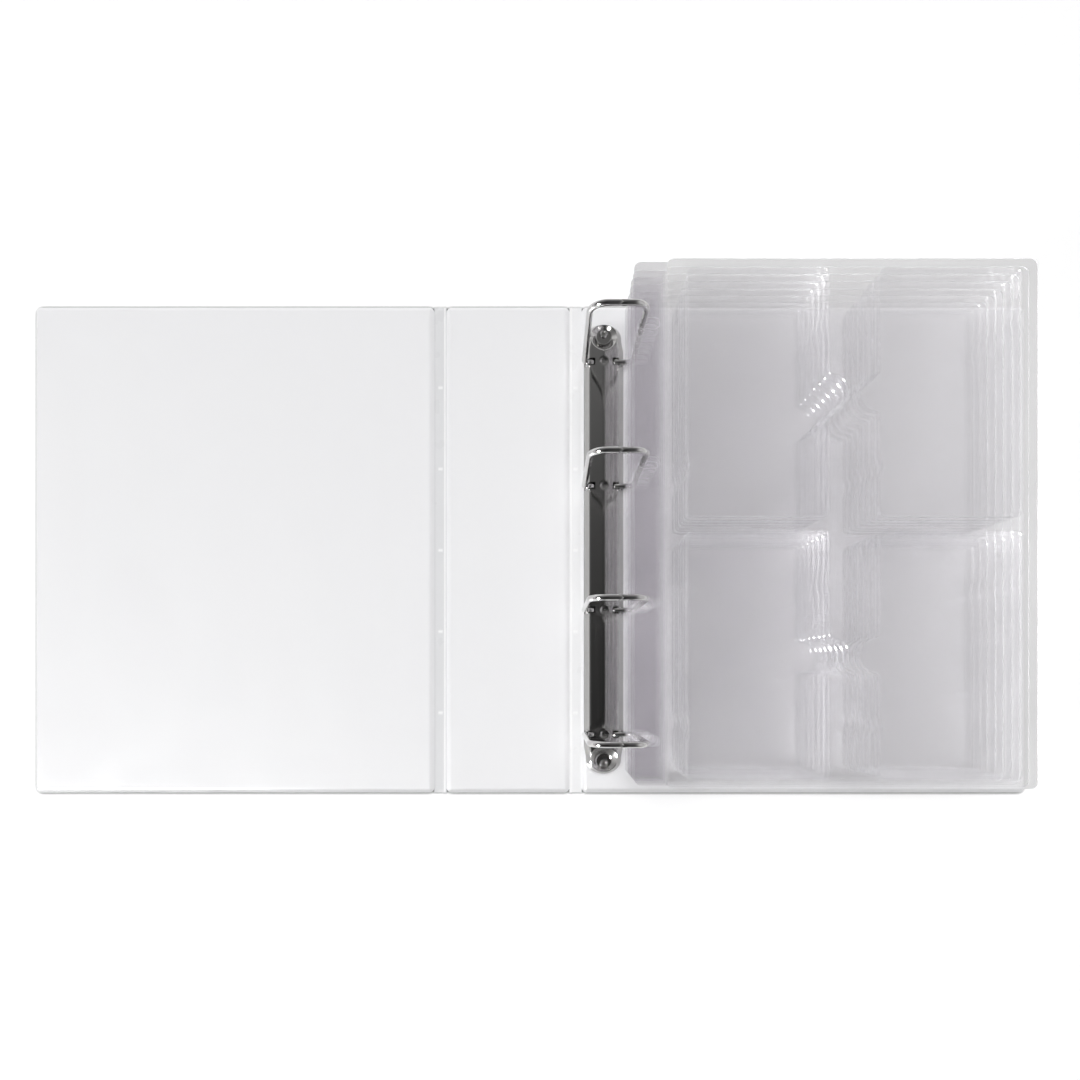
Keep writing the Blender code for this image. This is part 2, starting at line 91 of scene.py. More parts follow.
# %% Mesh helpers
def smooth_step(value, low, high):
    """0 below low, 1 above high, and the even cubic 3s^2 - 2s^3 between."""
    share = np.clip((value - low) / (high - low), 0.0, 1.0)
    return share * share * (3.0 - 2.0 * share)


def grid_faces(rows, columns, wrap=False):
    """Quads between neighbouring rows and columns of a grid; wrap joins the last column to the first."""
    index = np.arange(rows * columns).reshape(rows, columns)
    if wrap:
        index = np.column_stack((index, index[:, :1]))
    return np.stack((index[:-1, :-1], index[:-1, 1:], index[1:, 1:], index[1:, :-1]), axis=-1).reshape(-1, 4)


def new_piece(name, points, faces, finishes, weld=0.0):
    """A mesh object at the origin from an array of points and lists of faces; weld merges points that close."""
    mesh = bpy.data.meshes.new(name)
    mesh.from_pydata(np.asarray(points).tolist(), [], [list(map(int, face)) for face in faces])
    if weld:
        work = bmesh.new()
        work.from_mesh(mesh)
        bmesh.ops.remove_doubles(work, verts=work.verts, dist=weld)
        bmesh.ops.dissolve_degenerate(work, edges=work.edges, dist=weld / 10)
        work.to_mesh(mesh)
        work.free()
    mesh.validate()
    for finish in finishes:
        mesh.materials.append(finish)
    piece = bpy.data.objects.new(name, mesh)
    bpy.context.scene.collection.objects.link(piece)
    return piece


def thicken(piece, wall, rim=0):
    """Give a sheet its wall on the side its faces turn away from, and keep the result; rim is the cut edge's slot."""
    layer = piece.modifiers.new("wall", "SOLIDIFY")
    layer.thickness, layer.offset, layer.use_even_offset = wall, -1.0, True
    layer.material_offset_rim = rim
    bpy.context.view_layer.update()
    made = bpy.data.meshes.new_from_object(piece.evaluated_get(bpy.context.evaluated_depsgraph_get()))
    piece.modifiers.clear()
    piece.data = made
    return piece


def face_outwards(piece):
    """Turn all faces of a closed piece outwards."""
    work = bmesh.new()
    work.from_mesh(piece.data)
    bmesh.ops.recalc_face_normals(work, faces=work.faces)
    work.to_mesh(piece.data)
    work.free()
    return piece


def shade(piece, degrees=40):
    """Smooth shading with edges sharper than the angle kept crisp."""
    piece.data.shade_smooth()
    piece.data.set_sharp_from_angle(angle=math.radians(degrees))
    print(piece.name, len(piece.data.vertices), "points", len(piece.data.polygons), "faces")
    return piece


# %% [markdown]
# ## Finishes
# Five stuffs make the album: pressed vinyl, welded hinge film, nickel plate, greyboard and clear sheet. They could be
# flat colours, but real vinyl has a fine grain and slow waves, rolled metal carries faint drawn streaks, and the clear
# sheet shows mostly by what it mirrors. Hinge film is greyer where it is single than where it is doubled. That is
# partly its own tone, partly painted shade of the front groove and painted light by the back one. Its pressed ridges
# are painted whiter as a painted highlight, and the bore of an eyelet is painted near black as a painted shade of the
# hole. All patterns read Object coordinates in metres.

# %% Node helpers
def new_finish(name):
    """A material with its node tree, its Principled shader and an Object coordinate."""
    finish = bpy.data.materials.new(name)
    finish.use_nodes = True
    tree = finish.node_tree
    return finish, tree, tree.nodes["Principled BSDF"], tree.nodes.new("ShaderNodeTexCoord").outputs["Object"]


def noise(tree, place, scale, detail=3.0, stretch=None):
    """Noise of so many cells per metre; stretch multiplies the coordinate on each axis first."""
    if stretch is not None:
        turn = tree.nodes.new("ShaderNodeMapping")
        turn.inputs["Scale"].default_value = stretch
        tree.links.new(place, turn.inputs["Vector"])
        place = turn.outputs["Vector"]
    made = tree.nodes.new("ShaderNodeTexNoise")
    made.inputs["Scale"].default_value = scale
    made.inputs["Detail"].default_value = detail
    tree.links.new(place, made.inputs["Vector"])
    return made.outputs["Fac"]


def spread(tree, value, low, high):
    """Map noise between a third and two thirds to a range of numbers."""
    made = tree.nodes.new("ShaderNodeMapRange")
    for socket, number in zip(("From Min", "From Max", "To Min", "To Max"), (0.33, 0.67, low, high)):
        made.inputs[socket].default_value = number
    tree.links.new(value, made.inputs["Value"])
    return made.outputs["Result"]


def between(tree, value, first, second):
    """A colour between two, by a value."""
    made = tree.nodes.new("ShaderNodeMix")
    made.data_type = "RGBA"
    tree.links.new(value, made.inputs["Factor"])
    made.inputs[6].default_value = (*first, 1.0)
    made.inputs[7].default_value = (*second, 1.0)
    return made.outputs[2]


def value_math(tree, operation, first, second):
    """One step of sums: a value and a second value or plain number, joined by the operation."""
    made = tree.nodes.new("ShaderNodeMath")
    made.operation = operation
    tree.links.new(first, made.inputs[0])
    if isinstance(second, float):
        made.inputs[1].default_value = second
    else:
        tree.links.new(second, made.inputs[1])
    return made.outputs[0]


def relief(tree, value, height, strength, under=None):
    """A bump from a value, of a height in metres, on top of another bump if one is given."""
    made = tree.nodes.new("ShaderNodeBump")
    made.inputs["Strength"].default_value = strength
    made.inputs["Distance"].default_value = height
    tree.links.new(value, made.inputs["Height"])
    if under is not None:
        tree.links.new(under, made.inputs["Normal"])
    return made.outputs["Normal"]


# %% White vinyl and hinge film
def vinyl_finish(name, light, shade_colour, low, high, ridge_highlight_colour=None):
    """Calendered vinyl: two near whites in slow clouds, a fine grain, slow waves and a roughness that varies.

    A film also turns whiter where a number per point says the weld pressed it up: a painted highlight on bead and
    marks.
    """
    finish, tree, shader, place = new_finish(name)
    colour = between(tree, noise(tree, place, 9.0, 2.0), light, shade_colour)
    if ridge_highlight_colour is not None:
        ridge = tree.nodes.new("ShaderNodeAttribute")
        ridge.attribute_name = "ridge"
        with_highlight = tree.nodes.new("ShaderNodeMix")
        with_highlight.data_type = "RGBA"
        with_highlight.inputs[7].default_value = (*ridge_highlight_colour, 1.0)
        tree.links.new(ridge.outputs["Fac"], with_highlight.inputs["Factor"])
        tree.links.new(colour, with_highlight.inputs[6])
        colour = with_highlight.outputs[2]
    tree.links.new(colour, shader.inputs["Base Color"])
    tree.links.new(spread(tree, noise(tree, place, 60.0), low, high), shader.inputs["Roughness"])
    waves = relief(tree, noise(tree, place, 14.0, 1.0), 0.0012, 0.25)
    grain = relief(tree, noise(tree, place, 1500.0, 2.0), 0.00006, 0.35, waves)
    tree.links.new(grain, shader.inputs["Normal"])
    shader.inputs["Specular IOR Level"].default_value = 0.32
    return finish


VINYL = vinyl_finish("white_vinyl_pressed", (0.890, 0.890, 0.900), (0.875, 0.876, 0.888), 0.30, 0.42)
# The front hinge's single film is painted greyer: partly its own tone, partly a painted shade of the weld groove. The
# back hinge's doubled film is painted lighter: partly its fuller white, partly painted light. Both turn whiter on their
# ridges as a painted highlight.
HINGE_FILM_SHADED = vinyl_finish("hinge_film_single", (0.765, 0.768, 0.778), (0.740, 0.744, 0.756), 0.26, 0.38,
                    (0.965, 0.965, 0.970))
HINGE_FILM_LIT = vinyl_finish("hinge_film_double", (0.905, 0.905, 0.912), (0.890, 0.891, 0.900), 0.26, 0.38,
                           (0.975, 0.975, 0.975))
print("finishes:", VINYL.name, HINGE_FILM_SHADED.name, HINGE_FILM_LIT.name)

# %% Nickel plate
def nickel_finish(name, colour, low, high, stretch):
    """Plated steel: a warm grey metal with streaks drawn along the rolling direction in colour and roughness."""
    finish, tree, shader, place = new_finish(name)
    streaks = noise(tree, place, 220.0, 4.0, stretch)
    tree.links.new(between(tree, streaks, colour, tuple(0.93 * c for c in colour)), shader.inputs["Base Color"])
    tree.links.new(spread(tree, streaks, low, high), shader.inputs["Roughness"])
    tree.links.new(relief(tree, noise(tree, place, 90.0, 2.0), 0.0001, 0.12), shader.inputs["Normal"])
    shader.inputs["Metallic"].default_value = 1.0
    return finish


PLATE_NICKEL = nickel_finish("nickel_plate_rolled", (0.51, 0.505, 0.495), 0.08, 0.17, (1.0, 0.03, 1.0))
WIRE_NICKEL = nickel_finish("nickel_wire_polished", (0.63, 0.625, 0.62), 0.05, 0.13, (0.2, 1.0, 0.2))
# A near-black metal for the eyelet's bore: a painted shade of the hole.
BORE_PAINTED_SHADE = nickel_finish("steel_bore_unplated", (0.10, 0.098, 0.095), 0.45, 0.60, (1.0, 1.0, 0.2))
print("finishes:", PLATE_NICKEL.name, WIRE_NICKEL.name, BORE_PAINTED_SHADE.name)

# %% Greyboard
GREYBOARD, tree, shader, place = new_finish("greyboard_fibres")
fibres = noise(tree, place, 900.0, 5.0, (1.0, 0.25, 1.0))
tree.links.new(between(tree, fibres, (0.40, 0.37, 0.32), (0.50, 0.46, 0.40)), shader.inputs["Base Color"])
tree.links.new(relief(tree, fibres, 0.0002, 0.5), shader.inputs["Normal"])
shader.inputs["Roughness"].default_value = 0.92
print("finish:", GREYBOARD.name)

# %% [markdown]
# ### Clear sheet
# The pages are half a millimetre of clear plastic. A solid glass shader would bend light in every wall and starve the
# covers below of lamp light, so each face lets light straight through and mirrors a small share of it, more at a
# slant. Seven pages are fourteen faces, which is why the stack looks grey. Where the sheet was stretched in the mould
# it turns a little white; each page carries that as a number per point, called whitening. Cut edges are frosted, and
# the binding strip is a duller film that veils the ring legs behind it, with a dark grey haze that is partly painted
# shade. A pocket's wall is seen almost along the sheet, through more plastic, and its dark grey haze is painted shade.

# %% Clear sheet and its cut edge
HEAD_ON_SHARE, SLANT_SHARE, SLANT_POWER = 0.048, 0.50, 5.0
# Haze shares: frosted cut edges, the binding strip's veil with painted shade, and the wall's painted shade.
EDGE_HAZE, BINDING_HAZE_AND_SHADE, WALL_SHADE_HAZE = 0.45, 0.085, 0.06


def clear_finish(name, tint, low, high, haze=None, haze_and_shade_colour=(0.90, 0.90, 0.92)):
    """Let tint through, mirror 0.048 + 0.5 (1 - cos)^5 of the light, and mix a haze over it, by points or even; a dark
    haze is painted shade.
    """
    finish, tree, shader, place = new_finish(name)
    tree.nodes.remove(shader)
    facing = tree.nodes.new("ShaderNodeLayerWeight")
    facing.inputs["Blend"].default_value = 0.5
    slant = value_math(tree, "POWER", facing.outputs["Facing"], SLANT_POWER)
    share = value_math(tree, "ADD", value_math(tree, "MULTIPLY", slant, SLANT_SHARE), HEAD_ON_SHARE)
    through = tree.nodes.new("ShaderNodeBsdfTransparent")
    through.inputs["Color"].default_value = (*tint, 1.0)
    mirror = tree.nodes.new("ShaderNodeBsdfGlossy")
    mirror.distribution = "BECKMANN"
    mirror.inputs["Color"].default_value = (1.0, 1.0, 1.0, 1.0)
    haze_and_shade = tree.nodes.new("ShaderNodeBsdfDiffuse")
    haze_and_shade.inputs["Color"].default_value = (*haze_and_shade_colour, 1.0)
    clear, veiled = tree.nodes.new("ShaderNodeMixShader"), tree.nodes.new("ShaderNodeMixShader")
    tree.links.new(spread(tree, noise(tree, place, 45.0, 0.0), low, high), mirror.inputs["Roughness"])
    if haze is None:
        white = tree.nodes.new("ShaderNodeAttribute")
        white.attribute_name = "whitening"
        tree.links.new(white.outputs["Fac"], veiled.inputs["Fac"])
    else:
        veiled.inputs["Fac"].default_value = haze
    tree.links.new(share, clear.inputs["Fac"])
    tree.links.new(through.outputs[0], clear.inputs[1])
    tree.links.new(mirror.outputs[0], clear.inputs[2])
    tree.links.new(clear.outputs[0], veiled.inputs[1])
    tree.links.new(haze_and_shade.outputs[0], veiled.inputs[2])
    tree.links.new(veiled.outputs[0], tree.nodes["Material Output"].inputs["Surface"])
    return finish


CLEAR = clear_finish("clear_sheet_moulded", (0.9962, 0.9955, 0.9964), 0.19, 0.25)
CUT_EDGE = clear_finish("clear_sheet_cut_edge", (0.97, 0.97, 0.98), 0.25, 0.40, EDGE_HAZE)
# The binding strip's dark haze veils the ring legs and is partly painted shade.
BINDING = clear_finish("clear_sheet_binding", (0.990, 0.987, 0.991), 0.16, 0.24, BINDING_HAZE_AND_SHADE, (0.48, 0.47, 0.495))
# The wall's dark grey haze is painted shade.
WALL_SHADED = clear_finish("clear_sheet_wall", (0.985, 0.984, 0.988), 0.15, 0.21, WALL_SHADE_HAZE, (0.34, 0.33, 0.35))
print("finishes:", CLEAR.name, CUT_EDGE.name, BINDING.name, WALL_SHADED.name)

# %% [markdown]
# ## Cover linings
# Each panel's inner vinyl is pressed over its board and welded to the outer skin all round, so the edge is a soft
# slope that starts steep at the weld and flattens inwards. A bevelled box would give a straight chamfer. A grid with
# its lines packed near the edges carries the curved slope, and the corners are rounded by bending the grid's square
# corners into quarter discs.

# %% Lining surface
LINING_CORNER = 3.4 * MM
LINING_SLOPE = 3.1 * MM
LINING_EDGE_Z = 0.75 * MM
LINING_WALL = 0.30 * MM
SLOPE_POWER = 1.35
WAVE_HEIGHT, WAVE_FULL = 0.05 * MM, 30 * MM
LINING_STEP, LINING_ROWS = 0.009, 36
EDGE_LINES = np.array([0.0, 0.12, 0.3, 0.55, 0.9, 1.3, 1.75, 2.2, 2.65, 3.1, 3.4]) * MM


def edge_packed_lines(low, high, steps):
    """Places along an axis, packed within a corner's radius of both ends and even between."""
    middle = np.linspace(low + LINING_CORNER, high - LINING_CORNER, steps + 1)[1:-1]
    return np.concatenate((low + EDGE_LINES, middle, high - EDGE_LINES[::-1]))


def rounded_panel(left, right, low, high, steps_x, steps_y):
    """Grid of a rounded panel and each point's distance from the edge.

    In a corner's square the larger of the two coordinates is the radius, and their ratio the angle up to 45 degrees,
    which turns the square into a quarter disc.
    """
    middle = np.array([(left + right) / 2, (low + high) / 2])
    half = np.array([(right - left) / 2, (high - low) / 2])
    x, y = np.meshgrid(edge_packed_lines(left, right, steps_x), edge_packed_lines(low, high, steps_y))
    flat = np.stack((x, y), axis=-1) - middle
    inner = half - LINING_CORNER
    past = np.clip((np.abs(flat) - inner) / LINING_CORNER, 0.0, 1.0)
    radius, least = past.max(axis=-1), past.min(axis=-1)
    lean = math.pi / 4 * least / np.maximum(radius, 1e-9)
    angle = np.where(past[..., 0] >= past[..., 1], lean, math.pi / 2 - lean)
    bent = np.stack((np.cos(angle), np.sin(angle)), axis=-1) * (radius * LINING_CORNER)[..., None]
    placed = np.sign(flat) * (np.minimum(np.abs(flat), inner) + bent)
    distance = np.where(radius > 0, LINING_CORNER * (1 - radius), LINING_CORNER + (inner - np.abs(flat)).min(axis=-1))
    return placed + middle, distance


def lining_height(place, distance, top):
    """Steep at the weld and flat inwards: edge + rise (1 - (1 - d/w)^p), with slow waves away from the edge."""
    share = 1.0 - np.clip(distance / LINING_SLOPE, 0.0, 1.0)
    slope = LINING_EDGE_Z + (top - LINING_EDGE_Z) * (1.0 - share**SLOPE_POWER)
    x, y = place[..., 0], place[..., 1]
    waves = np.sin(31 * x + 17 * y) + np.sin(23 * y - 13 * x + 1.3) + np.sin(47 * x + 2.1) - 3.0
    return slope + WAVE_HEIGHT / 3 * waves * smooth_step(distance, LINING_SLOPE, WAVE_FULL)


# %% Three linings
for panel, body in (("front", "front_cover"), ("spine", "spine"), ("back", "back_cover")):
    node = panel + "_lining"
    box_low, box_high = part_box(node)
    steps_x = max(8, int((box_high.x - box_low.x) / LINING_STEP))
    place, distance = rounded_panel(box_low.x, box_high.x, box_low.y, box_high.y, steps_x, LINING_ROWS)
    points = np.concatenate((place, lining_height(place, distance, box_high.z)[..., None]), axis=-1)
    lining = new_piece(panel + "_lining_pressed", points.reshape(-1, 3), grid_faces(*distance.shape), [VINYL])
    shade(thicken(lining, LINING_WALL))
    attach(lining, body)
    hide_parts(node)

# %% [markdown]
# ## Hinges
# Between the panels only the film is left, welded flat so that it can bend: single at the front hinge, doubled at the
# back one. The weld shows as a shallow groove with a raised bead along the spine's side and five short weld marks. A
# flat strip with a bump would lose the bead at a slant, so the strip is a height over a grid: the groove's section
# across, carried along the cover's height, with a small stamped pad at each mark.

# %% Hinge film
HINGE_HALF = 4.05 * MM
HINGE_WALL = 0.20 * MM
GROOVE_Z, GROOVE_HALF = 0.42 * MM, 3.0 * MM
BEAD_HEIGHT, BEAD_WIDTH, BEAD_FROM_FOLD = 0.42 * MM, 0.55 * MM, 2.9 * MM
MARK_PITCH = 53.3 * MM
MARK_SIZE = (1.5 * MM, 2.4 * MM)
MARK_DEPTH, MARK_WITHIN, MARK_BEYOND = 0.14 * MM, 0.4 * MM, 0.3 * MM
HINGE_ROWS = 120
ACROSS = np.array([-4.05, -3.9, -3.6, -3.2, -2.7, -2.1, -1.5, -1.1, -0.7, -0.2, 0.3, 0.7, 1.1, 1.5, 1.9, 2.2, 2.5, 2.8,
                   3.1, 3.4, 3.7, 3.9, 4.05]) * MM
MARK_LINES = np.array([-3.2, -2.7, -2.4, -2.1, -1.6, -0.8, 0.0, 0.8, 1.6, 2.1, 2.4, 2.7, 3.2]) * MM


def hinge_height(x, y, bead_x):
    """A groove that rises to both weld edges, plus a bead (a bell across) and the stamped weld marks.

    Also gives each point's share of painted highlight, from 0 to 1, as the larger of the bead's bell and the mark's
    middle.
    """
    rise = smooth_step(np.abs(x), GROOVE_HALF, HINGE_HALF) * (LINING_EDGE_Z - GROOVE_Z)
    bell = np.exp(-(((x - bead_x) / BEAD_WIDTH) ** 2))
    bead = BEAD_HEIGHT * bell * (1 + 0.12 * np.sin(95 * y) * np.sin(41 * y + 1))
    along = np.abs((y + 2.5 * MARK_PITCH) % MARK_PITCH - MARK_PITCH / 2)
    pad = 1 - smooth_step(along, MARK_SIZE[1] - MARK_WITHIN, MARK_SIZE[1] + MARK_BEYOND)
    pad = pad * (1 - smooth_step(np.abs(x), MARK_SIZE[0] - MARK_WITHIN, MARK_SIZE[0] + MARK_BEYOND))
    boss = pad * np.clip(np.cos(along / MARK_SIZE[1] * math.pi), 0.0, 1.0)
    return GROOVE_Z + rise + bead - MARK_DEPTH * pad + 0.5 * MARK_DEPTH * boss, np.maximum(bell, boss)


for side, fold_x, bead_x, bodies, finish in (
        ("front", FRONT_FOLD_X, BEAD_FROM_FOLD, ("front_cover", "spine"), HINGE_FILM_SHADED),
        ("back", BACK_FOLD_X, -BEAD_FROM_FOLD, ("spine", "back_cover"), HINGE_FILM_LIT)):
    box_low, box_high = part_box(side + "_hinge")
    marks = (np.arange(5)[:, None] - 2) * MARK_PITCH + MARK_LINES
    ys = np.unique(np.concatenate((np.linspace(box_low.y, box_high.y, HINGE_ROWS), marks.ravel())).round(5))
    x, y = np.meshgrid(ACROSS, ys)
    height, ridge = hinge_height(x, y, bead_x)
    points = np.stack((fold_x + x, y, height), axis=-1)
    film = new_piece(side + "_hinge_film", points.reshape(-1, 3), grid_faces(*x.shape), [finish])
    # The bead and the weld marks get a painted highlight: the film's colour turns whiter by this number.
    film.data.attributes.new("ridge", "FLOAT", "POINT").data.foreach_set("value", ridge.ravel())
    shade(thicken(film, HINGE_WALL))
    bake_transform(film)
    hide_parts(side + "_hinge")

# %% [markdown]
# ## Ring plate
# The plate is a strip of plated steel folded to a low roof with steep skirts. Its ends are rounded, and a round dish
# pressed into each end seats the eyelet. There is a pressed dimple beside each ring, and the ring feet come up through
# slots. A roof with Booleans would shade badly round the holes, so the height is the smooth least of roof, skirts and
# dish, the grid's lines lie on the slot edges, and the faces inside are left out.

# %% Plate surface
PLATE_HALF = (plate_high.x - plate_low.x) / 2
PLATE_WALL = 0.9 * MM
PLATE_EDGE_Z = plate_low.z + PLATE_WALL
ARCH_RISE = plate_high.z - PLATE_EDGE_Z
SKIRT_SLOPE, CROWN_SLOPE, FOLD_SOFTNESS = 1.25, 0.17, 0.8 * MM
LOBE_Y = RIVET_Y - 3.0 * MM
LOBE_HALF, LOBE_LONG, LOBE_BLEND = 11.4 * MM, 9.5 * MM, 10 * MM
DISH_Y, DISH_RADIUS, DISH_SLOPE, SEAT_RISE = RIVET_Y - 1.9 * MM, 4.8 * MM, 0.85, 0.6 * MM
CREASE_SOFTNESS = 0.35 * MM
SLOT_INNER, SLOT_OUTER, SLOT_HALF = 5.6 * MM, 12.3 * MM, 2.3 * MM
DIMPLE_RADIUS, DIMPLE_FLAT, DIMPLE_DEPTH = 3.2 * MM, 0.9 * MM, 0.75 * MM
END_LINES, RING_LINES = 12 * MM, 6 * MM


def smooth_least(first, second, soft):
    """The lesser of two heights, with the crease between them rounded over a small height."""
    share = np.clip(0.5 + 0.5 * (second - first) / soft, 0.0, 1.0)
    return second + (first - second) * share - soft * share * (1.0 - share)


def plate_lines():
    """Lines across, with the slot's edges among them, and lines along that crowd at the rings and the ends."""
    right = np.concatenate((np.linspace(0, SLOT_INNER, 13), np.linspace(SLOT_INNER, SLOT_OUTER, 15)[1:],
                            np.linspace(SLOT_OUTER, PLATE_HALF, 6)[1:]))
    across = np.concatenate((-right[:0:-1], right))
    near_ring = np.array([-5, -4, -3.2, -2.75, -SLOT_HALF / MM, -1.8, -1.2, -0.6, 0, 0.6, 1.2, 1.8, SLOT_HALF / MM,
                          2.75, 3.2, 4, 5]) * MM
    rings = (np.array(RING_YS)[:, None] + near_ring).ravel()
    between_rings = np.linspace(-LOBE_Y + END_LINES, LOBE_Y - END_LINES, 60)
    ends = np.linspace(LOBE_Y - END_LINES, LOBE_Y, 40)
    caps = LOBE_Y + LOBE_LONG * np.sin(np.linspace(0, math.pi / 2, 34))
    spare = between_rings[np.abs(between_rings[:, None] - np.array(RING_YS)).min(axis=1) > RING_LINES]
    return across, np.unique(np.concatenate((rings, spare, ends, -ends, caps, -caps)).round(6))


def plate_surface(across, along):
    """Least of a low roof, its steep skirts, rounded at the ends, and a dish cone at each end; less the dimples."""
    u, y = np.meshgrid(across / PLATE_HALF, along)
    far = np.abs(y)
    past = np.clip((far - LOBE_Y) / LOBE_LONG, 0, 1)
    half = PLATE_HALF + (LOBE_HALF - PLATE_HALF) * smooth_step(far, LOBE_Y - LOBE_BLEND, LOBE_Y)
    half = half * np.sqrt(1 - past**2)
    x = u * half
    crown = ARCH_RISE - CROWN_SLOPE * np.hypot(x, FOLD_SOFTNESS)
    skirt = SKIRT_SLOPE * PLATE_HALF * (1 - np.sqrt(u**2 * (1 - past**2) + past**2))
    roof = smooth_least(crown, skirt, FOLD_SOFTNESS)
    dish = SEAT_RISE + DISH_SLOPE * np.maximum(np.hypot(x, far - DISH_Y) - DISH_RADIUS, 0)
    height = np.maximum(smooth_least(roof, dish, CREASE_SOFTNESS), 0)
    reach = np.hypot(x, y - np.array(RING_YS)[:, None, None]).min(axis=0)
    dimple = DIMPLE_DEPTH * (1 - smooth_step(reach, DIMPLE_FLAT, DIMPLE_RADIUS))
    return np.stack((PLATE_X + x, y, PLATE_EDGE_Z + height - dimple), axis=-1)


# %% Plate with its slots
across, along = plate_lines()
points = plate_surface(across, along)
faces = grid_faces(len(along), len(across))
column, row = (across[1:] + across[:-1]) / 2, (along[1:] + along[:-1]) / 2
in_slot = (np.abs(np.abs(column) - (SLOT_INNER + SLOT_OUTER) / 2) < (SLOT_OUTER - SLOT_INNER) / 2)[None, :]
at_ring = (np.abs(row[:, None] - np.array(RING_YS)).min(axis=1) < SLOT_HALF)[:, None]
faces = faces[~(in_slot & at_ring).ravel()]
plate = new_piece("ring_plate_rolled", points.reshape(-1, 3), faces, [PLATE_NICKEL], weld=2e-6)
shade(thicken(plate, PLATE_WALL), 50)
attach(plate, "back_cover")
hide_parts("ring_plate")

# %% [markdown]
# ## Eyelets
# Two hollow eyelets hold the plate: a rolled lip above, a tube through the cover and a wide flange below. The bore is
# painted near black, a painted shade of the hole. A torus on a tube would leave a seam, and eyelets are turned shapes,
# so one closed section is carried round the axis.

# %% Eyelets
LIP_RADIUS, BORE_RADIUS, TAIL_RADIUS = 2.75 * MM, 1.35 * MM, 4.2 * MM
LIP_FLATNESS = 0.75
TUBE_RADIUS, BORE_MARGIN = 2.0 * MM, 0.05 * MM
EYELET_SIDES = 40


def turned(section, centre, sides):
    """Carry a closed section of radius and height round a vertical axis."""
    turn = np.linspace(0, 2 * math.pi, sides, endpoint=False)
    radius, height = section[:, 0][:, None], section[:, 1][:, None]
    x, y = centre[0] + radius * np.cos(turn), centre[1] + radius * np.sin(turn)
    return np.stack((x, y, np.broadcast_to(height, x.shape)), axis=-1)


lip_turn = np.radians(np.linspace(-70, 200, 16))
lip_middle = (LIP_RADIUS + BORE_RADIUS) / 2
lip_size = (LIP_RADIUS - BORE_RADIUS) / 2
SEAT_Z = PLATE_EDGE_Z + SEAT_RISE
lip_rise = LIP_FLATNESS * lip_size * (1 + np.sin(lip_turn))
lip = np.column_stack((lip_middle + lip_size * np.cos(lip_turn), SEAT_Z + lip_rise))
tail = np.array([(BORE_RADIUS, 0.3), (BORE_RADIUS + 0.3 * MM, 0.02), (TAIL_RADIUS - 0.3 * MM, 0.0), (TAIL_RADIUS, 0.15),
                 (TAIL_RADIUS, 0.35), (TAIL_RADIUS - 0.1 * MM, 0.4), (TUBE_RADIUS, 0.4)]) * (1, MM)
section = np.vstack((lip, tail, [(TUBE_RADIUS, SEAT_Z - 0.1 * MM)]))
section = np.vstack((section, section[:1]))
for end, sign in (("head", 1), ("tail", -1)):
    points = turned(section, (PLATE_X, sign * RIVET_Y), EYELET_SIDES)
    eyelet = new_piece(end + "_eyelet_rolled", points.reshape(-1, 3), grid_faces(len(section), EYELET_SIDES, True),
                       [WIRE_NICKEL, BORE_PAINTED_SHADE], weld=1e-6)
    # Faces in the bore take the near-black finish, the painted shade of the hole.
    centre = np.empty(3 * len(eyelet.data.polygons))
    eyelet.data.polygons.foreach_get("center", centre)
    reach = np.hypot(centre[0::3] - PLATE_X, centre[1::3] - sign * RIVET_Y)
    eyelet.data.polygons.foreach_set("material_index", (reach < BORE_RADIUS + BORE_MARGIN).astype(np.int32))
    shade(face_outwards(eyelet), 50)
    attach(eyelet, "back_cover")
    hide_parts(end + "_rivet")

# %% [markdown]
# ## Half rings
# The rings are bent from round wire, and each closes where the left half's blunt wedge sits in the right half's notch.
# A Bezier curve with a bevel would do for the wire but not for the wedge, so a circle is carried along the bent middle
# line, and the end's points slide along the bar by how far they are from its middle plane.

# %% Half rings
SIDES = 32
TIP_FROM_PLATE = 6.4 * MM
BENDS = {"left": (3.5 * MM, 9.5 * MM), "right": (3.5 * MM, 7.5 * MM)}
WEDGE_X, WEDGE_LEAN, RING_GAP = 5.2 * MM, 0.95, 0.30 * MM
END_ROUND, END_RUN, TIP_RUN = 0.30 * MM, 2.2 * MM, 0.4 * MM


def wire_line(leg, foot, bar, foot_radius, top_radius, meeting):
    """The wire's middle line in x (outwards from the plate) and z: foot, bend, leg, bend, bar, rounded end."""
    lower, upper = np.radians(np.linspace(-90, 0, 15)), np.radians(np.linspace(0, 90, 19))
    foot_bend = np.column_stack((leg - foot_radius + foot_radius * np.cos(lower),
                                 foot + foot_radius + foot_radius * np.sin(lower)))
    top_bend = np.column_stack((leg - top_radius + top_radius * np.cos(upper),
                                bar - top_radius + top_radius * np.sin(upper)))
    leg_run = foot_bend[-1] + (top_bend[0] - foot_bend[-1]) * np.linspace(0, 1, 12)[1:-1, None]
    shoulder = meeting + END_ROUND
    rounded = (shoulder, shoulder - END_ROUND / 2, meeting)
    bar_x = np.append(np.linspace(top_bend[-1, 0], shoulder + END_RUN, 5)[1:], rounded)
    bar_run = np.column_stack((bar_x, np.full(len(bar_x), bar)))
    tip = [[TIP_FROM_PLATE, foot], [TIP_FROM_PLATE + TIP_RUN, foot]]
    return np.vstack((tip, foot_bend, leg_run, top_bend, bar_run))


